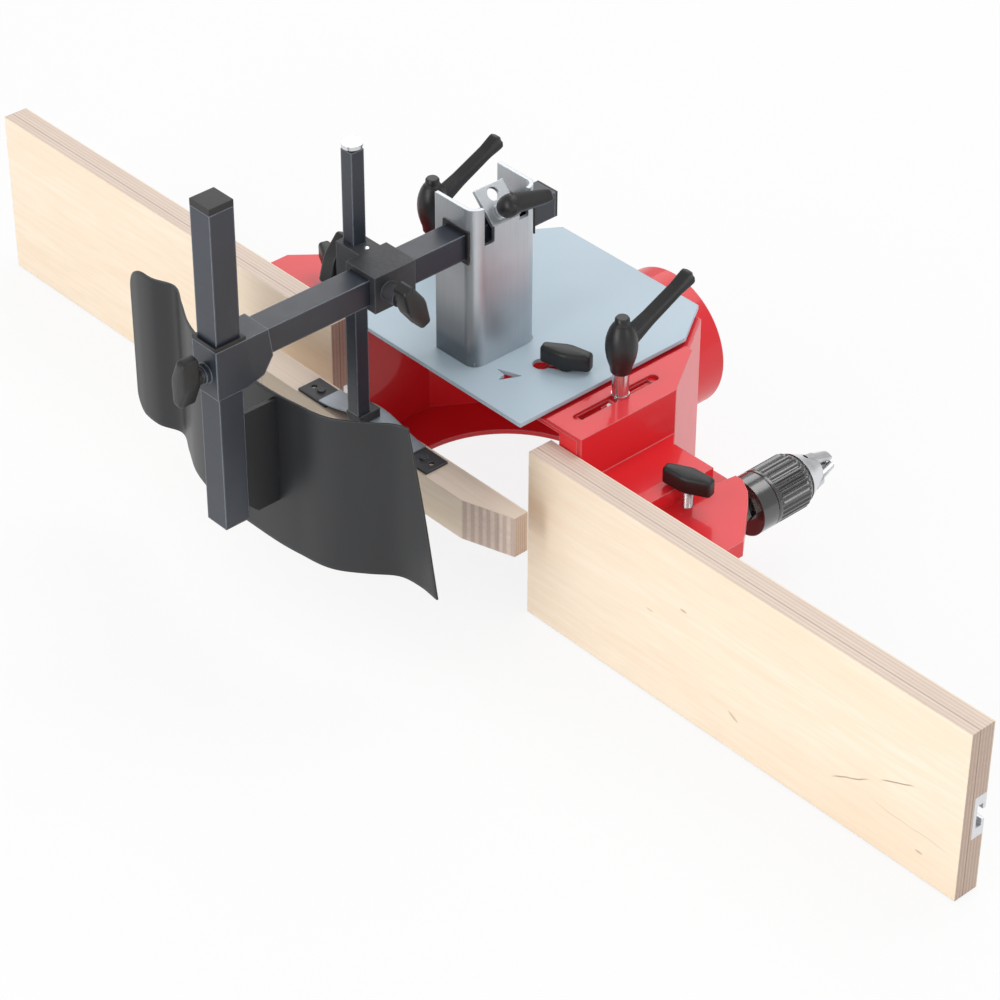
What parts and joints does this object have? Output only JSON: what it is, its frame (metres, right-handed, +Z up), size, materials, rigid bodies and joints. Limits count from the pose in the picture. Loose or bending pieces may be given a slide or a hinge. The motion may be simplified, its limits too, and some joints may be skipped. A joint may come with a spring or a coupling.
{
  "type": "spindle moulder fence and guard unit",
  "caption": "Combination woodworker's spindle moulder fence: red cutter hood with dust port, plywood fence boards, clamp levers, bar with pressure shoe and bowed guard.",
  "frame": {"origin": "on the table's surface, in the plane of the fence boards' front faces, midway between the boards", "axes": "+X along the fence to the outfeed side, +Y to the rear towards the dust port, +Z up from the table"},
  "size_m": [1.022, 0.467, 0.375],
  "materials": {
    "sheet_red": "glossy bright red powder coat on sheet steel",
    "port_red": "glossy bright red paint on a rolled steel spigot",
    "base_red": "glossy bright red paint on a steel plate",
    "cover_blue": "satin pale blue-grey paint",
    "bracket_steel": "brushed, zinc plated steel",
    "bright_steel": "bright zinc plated screws, studs and arbor",
    "jaw_steel": "ground bright steel",
    "black_tube": "satin black coat on square tube",
    "guard_black": "satin black coat on thin sheet",
    "clamp_black": "satin black coated casting",
    "knob_black": "black glass-filled plastic with a fine grain",
    "bush_black": "black plastic",
    "chuck_black": "black plastic, moulded ribs",
    "spring_steel": "bright rolled spring steel",
    "birch_board": "clear satin lacquer on birch plywood, plies at the edges",
    "birch_shoe": "clear lacquer on birch plywood",
    "rail_alu": "natural anodised extrusion"
  },
  "bodies": {
    "frame": {"base_plate": "base_red", "hood_shell": "sheet_red", "dust_port": "port_red", "hood_studs": "bright_steel"},
    "cover": {"cover_plate": "cover_blue", "bracket": "bracket_steel", "bracket_screws": "bright_steel", "bar_bushes": "bush_black", "clamp_bush": "bush_black", "clamp_pad": "bush_black"},
    "cover_knob": {"cover_knob": "knob_black"},
    "clamp_lever": {"clamp_lever": "knob_black", "clamp_screw": "bright_steel"},
    "arm": {"arm": "black_tube", "arm_end_cap": "bush_black", "sleeve_rim": "bush_black"},
    "post_knob": {"post_knob": "knob_black", "post_knob_screw": "bright_steel"},
    "guard": {"guard_post": "black_tube", "post_cap": "bush_black", "guard_fin": "guard_black", "guard_sheet": "guard_black"},
    "cross_clamp": {"cross_clamp": "clamp_black", "clamp_set_screw": "bright_steel"},
    "bar_knob": {"bar_knob": "knob_black", "bar_knob_screw": "bright_steel"},
    "rod_knob": {"rod_knob": "knob_black", "rod_knob_screw": "bright_steel"},
    "shoe_rod": {"shoe_rod": "black_tube", "rod_cap": "bright_steel", "foot_block": "clamp_black", "leaf_spring": "spring_steel"},
    "shoe": {"pressure_shoe": "birch_shoe", "leaf_end_plates": "clamp_black"},
    "left_carrier": {"left_carrier": "sheet_red", "left_seat": "sheet_red", "left_board_bracket": "sheet_red", "left_rail_bolts": "bright_steel"},
    "left_board": {"left_board": "birch_board", "left_rail": "rail_alu"},
    "left_seat_knob": {"left_seat_knob": "knob_black"},
    "right_carrier": {"right_carrier": "sheet_red", "right_seat": "sheet_red", "right_board_bracket": "sheet_red", "right_rail_bolts": "bright_steel", "arbor_housing": "sheet_red"},
    "right_board": {"right_board": "birch_board", "right_rail": "rail_alu"},
    "right_seat_knob": {"right_seat_knob": "knob_black"},
    "left_lever": {"left_lever": "knob_black", "left_lever_insert": "bright_steel"},
    "right_lever": {"right_lever": "knob_black", "right_lever_insert": "bright_steel"},
    "spindle": {"arbor": "bright_steel", "chuck_collar": "chuck_black", "chuck_body": "bright_steel"},
    "chuck_sleeve": {"chuck_sleeve": "chuck_black"},
    "chuck_jaw_1": {"chuck_jaw_1": "jaw_steel"},
    "chuck_jaw_2": {"chuck_jaw_2": "jaw_steel"},
    "chuck_jaw_3": {"chuck_jaw_3": "jaw_steel"}
  },
  "joints": [
    {"name": "cover_slide", "type": "slide", "parent": "frame", "child": "cover", "axis": [0.829, 0.5592, 0], "range_m": [0, 0.01]},
    {"name": "cover_knob_turn", "type": "hinge", "parent": "frame", "child": "cover_knob", "pos_m": [0.0665, 0.072, 0.165], "axis": [0, 0, 1], "continuous": true},
    {"name": "clamp_lever_turn", "type": "hinge", "parent": "cover", "child": "clamp_lever", "pos_m": [0.0198, 0.052, 0.2731], "axis": [0.7071, 0, 0.7071], "range_deg": [-79, 0]},
    {"name": "arm_slide", "type": "slide", "parent": "cover", "child": "arm", "axis": [0, -1, 0], "range_m": [-0.012, 0.024]},
    {"name": "post_knob_turn", "type": "hinge", "parent": "arm", "child": "post_knob", "pos_m": [0.008, -0.209, 0.247], "axis": [0, -1, 0], "continuous": true},
    {"name": "guard_slide", "type": "slide", "parent": "arm", "child": "guard", "axis": [0, 0, 1], "range_m": [-0.075, 0.005]},
    {"name": "cross_clamp_slide", "type": "slide", "parent": "arm", "child": "cross_clamp", "axis": [0, 1, 0], "range_m": [-0.05, 0.012]},
    {"name": "bar_knob_turn", "type": "hinge", "parent": "cross_clamp", "child": "bar_knob", "pos_m": [0.032, -0.054, 0.256], "axis": [1, 0, 0], "continuous": true},
    {"name": "rod_knob_turn", "type": "hinge", "parent": "cross_clamp", "child": "rod_knob", "pos_m": [-0.036, -0.045, 0.246], "axis": [-1, 0, 0], "continuous": true},
    {"name": "rod_slide", "type": "slide", "parent": "cross_clamp", "child": "shoe_rod", "axis": [0, 0, 1], "range_m": [-0.06, 0.06]},
    {"name": "shoe_press", "type": "slide", "parent": "shoe_rod", "child": "shoe", "axis": [0, 0, 1], "range_m": [0, 0.006], "stiffness_N_per_m": 2500, "deforming": ["leaf_spring"]},
    {"name": "left_carrier_slide", "type": "slide", "parent": "frame", "child": "left_carrier", "axis": [0, -1, 0], "range_m": [0, 0.016]},
    {"name": "left_board_slide", "type": "slide", "parent": "left_carrier", "child": "left_board", "axis": [-1, 0, 0], "range_m": [-0.06, 0.06]},
    {"name": "left_seat_knob_turn", "type": "hinge", "parent": "left_carrier", "child": "left_seat_knob", "pos_m": [-0.19, 0.072, 0.12], "axis": [0, 0, 1], "continuous": true},
    {"name": "right_carrier_slide", "type": "slide", "parent": "frame", "child": "right_carrier", "axis": [0, -1, 0], "range_m": [0, 0.016]},
    {"name": "right_board_slide", "type": "slide", "parent": "right_carrier", "child": "right_board", "axis": [1, 0, 0], "range_m": [-0.06, 0.06]},
    {"name": "right_seat_knob_turn", "type": "hinge", "parent": "right_carrier", "child": "right_seat_knob", "pos_m": [0.19, 0.072, 0.12], "axis": [0, 0, 1], "continuous": true},
    {"name": "left_lever_turn", "type": "hinge", "parent": "frame", "child": "left_lever", "pos_m": [-0.113, 0.105, 0.19], "axis": [0, 0, 1], "continuous": true},
    {"name": "right_lever_turn", "type": "hinge", "parent": "frame", "child": "right_lever", "pos_m": [0.113, 0.08, 0.19], "axis": [0, 0, 1], "continuous": true},
    {"name": "chuck_spin", "type": "hinge", "parent": "right_carrier", "child": "spindle", "pos_m": [0.188, 0.1216, 0.072], "axis": [0, 1, 0], "continuous": true},
    {"name": "sleeve_turn", "type": "hinge", "parent": "spindle", "child": "chuck_sleeve", "pos_m": [0.188, 0.1456, 0.072], "axis": [0, 1, 0], "range_deg": [0, 360]},
    {"name": "jaw_1_slide", "type": "slide", "parent": "spindle", "child": "chuck_jaw_1", "axis": [0.1652, -0.9816, -0.0954], "range_m": [0, 0.012]},
    {"name": "jaw_2_slide", "type": "slide", "parent": "spindle", "child": "chuck_jaw_2", "axis": [-0.1652, -0.9816, -0.0954], "range_m": [0, 0.012]},
    {"name": "jaw_3_slide", "type": "slide", "parent": "spindle", "child": "chuck_jaw_3", "axis": [0, -0.9816, 0.1908], "range_m": [0, 0.012]}
  ],
  "couplings": [
    {"joint": "jaw_1_slide", "follows": "sleeve_turn", "m_per_rad": 0.0019},
    {"joint": "jaw_2_slide", "follows": "sleeve_turn", "m_per_rad": 0.0019},
    {"joint": "jaw_3_slide", "follows": "sleeve_turn", "m_per_rad": 0.0019}
  ]
}
